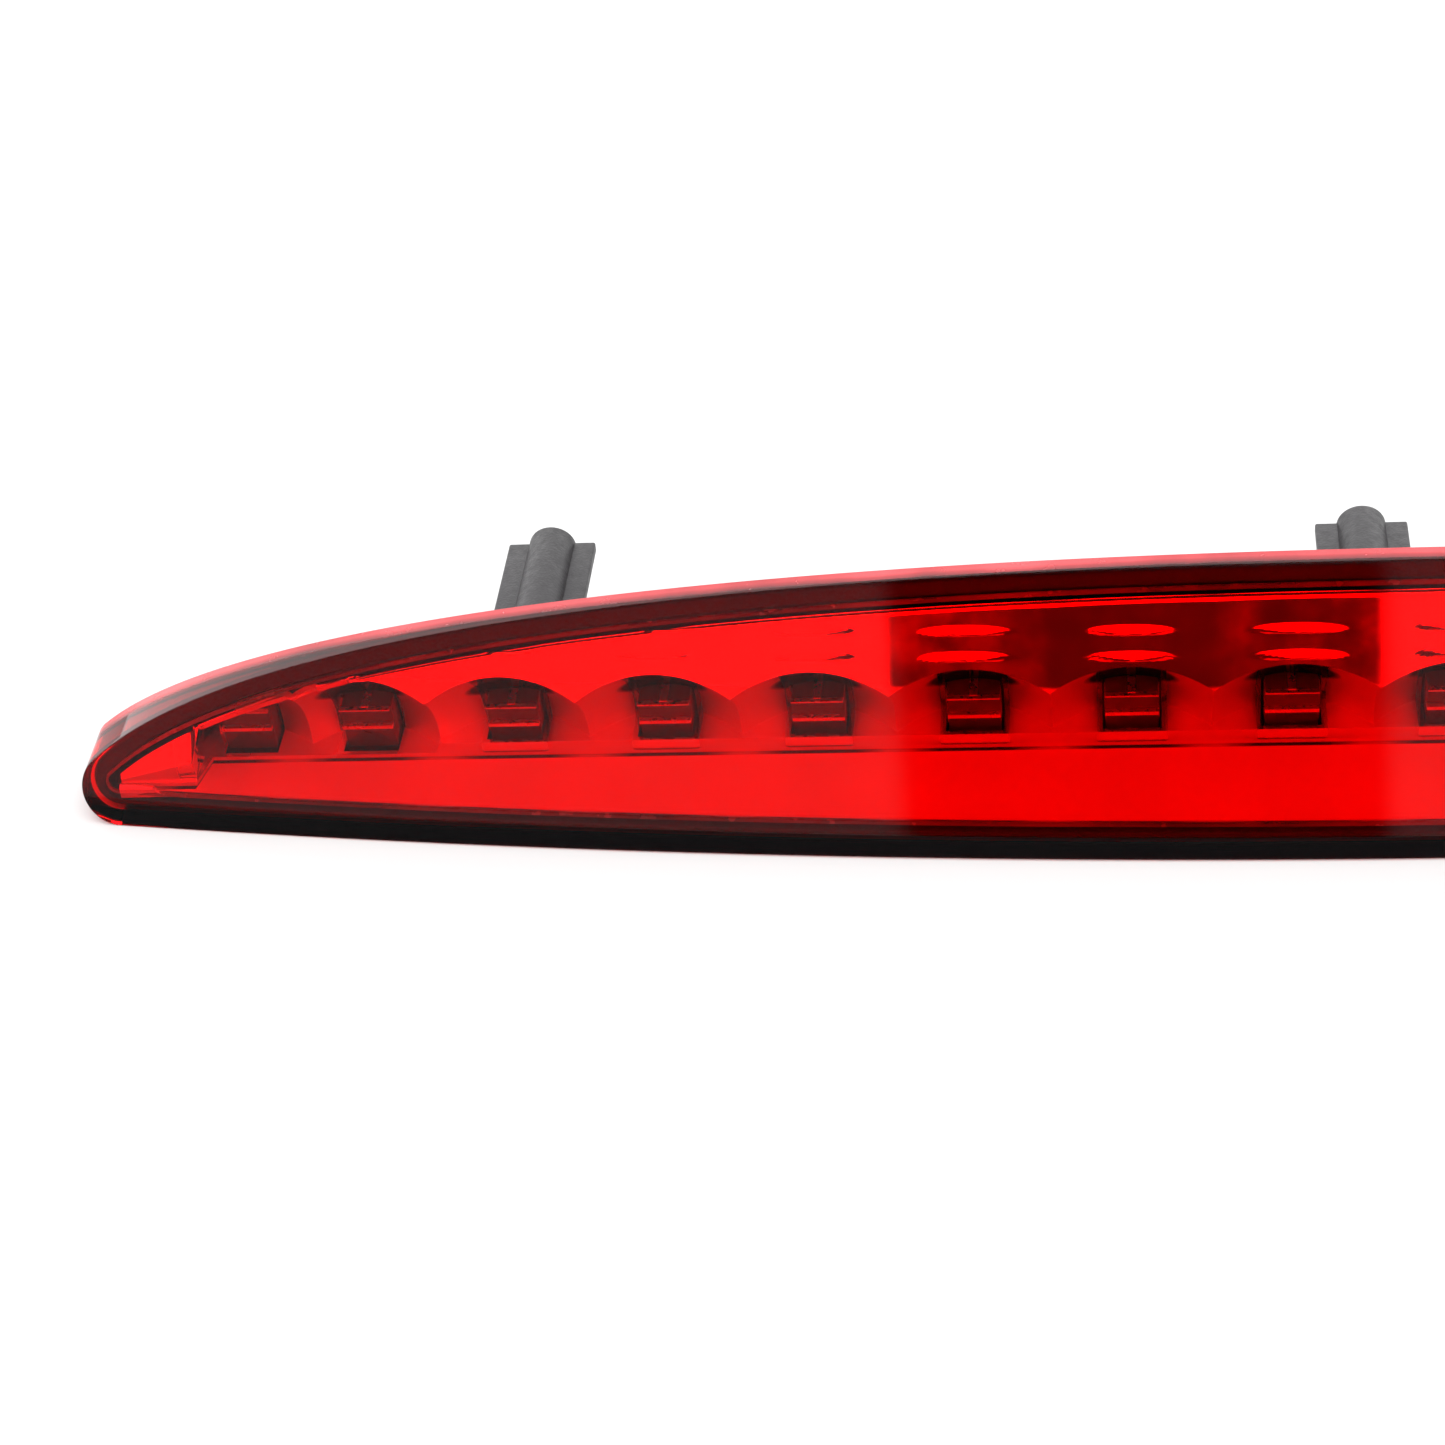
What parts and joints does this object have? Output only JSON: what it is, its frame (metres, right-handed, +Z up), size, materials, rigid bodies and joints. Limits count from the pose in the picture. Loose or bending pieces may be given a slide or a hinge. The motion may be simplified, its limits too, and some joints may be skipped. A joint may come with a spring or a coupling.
{
  "type": "third brake light",
  "caption": "Slim arched third brake light: red lens over a mirrored reflector with LED dishes, black housing with mounting bosses and a rear connector socket.",
  "frame": {"origin": "middle of the bounding box in X and Y, on the flat bottom of the lens that it rests on", "axes": "+X along the lamp's length, +Y towards the car body (the mounting bosses point along +Y), +Z up; the lens faces -Y"},
  "size_m": [0.3682, 0.0515, 0.0354],
  "materials": {
    "red_acrylic": "clear red, polished",
    "black_plastic": "fine-textured moulding",
    "black_nylon": "moulded",
    "mirror_coating": "vacuum-metallised mirror",
    "board_laminate": "green solder mask",
    "led_epoxy": "red-tinted clear epoxy",
    "resistor_body": "moulded black",
    "diode_body": "moulded black",
    "capacitor_ceramic": "tan ceramic",
    "terminal_brass": "tinned brass",
    "screw_steel": "zinc plated",
    "seal_rubber": "black rubber",
    "vent_membrane": "white porous membrane"
  },
  "bodies": {
    "root": {"outer_lens": "red_acrylic", "rear_housing": "black_plastic", "connector_socket": "black_nylon", "reflector": "mirror_coating", "circuit_board": "board_laminate", "led_01": "led_epoxy", "led_02": "led_epoxy", "led_03": "led_epoxy", "led_04": "led_epoxy", "led_05": "led_epoxy", "led_06": "led_epoxy", "led_07": "led_epoxy", "led_08": "led_epoxy", "led_09": "led_epoxy", "led_10": "led_epoxy", "led_11": "led_epoxy", "led_12": "led_epoxy", "led_13": "led_epoxy", "led_14": "led_epoxy", "led_15": "led_epoxy", "led_16": "led_epoxy", "resistor_1": "resistor_body", "board_screw_1": "screw_steel", "resistor_2": "resistor_body", "board_screw_2": "screw_steel", "resistor_3": "resistor_body", "board_screw_3": "screw_steel", "resistor_4": "resistor_body", "board_screw_4": "screw_steel", "reverse_diode": "diode_body", "suppression_capacitor": "capacitor_ceramic", "terminal_positive": "terminal_brass", "terminal_negative": "terminal_brass", "lens_seal": "seal_rubber", "socket_seal": "seal_rubber", "breather_patch": "vent_membrane"}
  },
  "joints": []
}
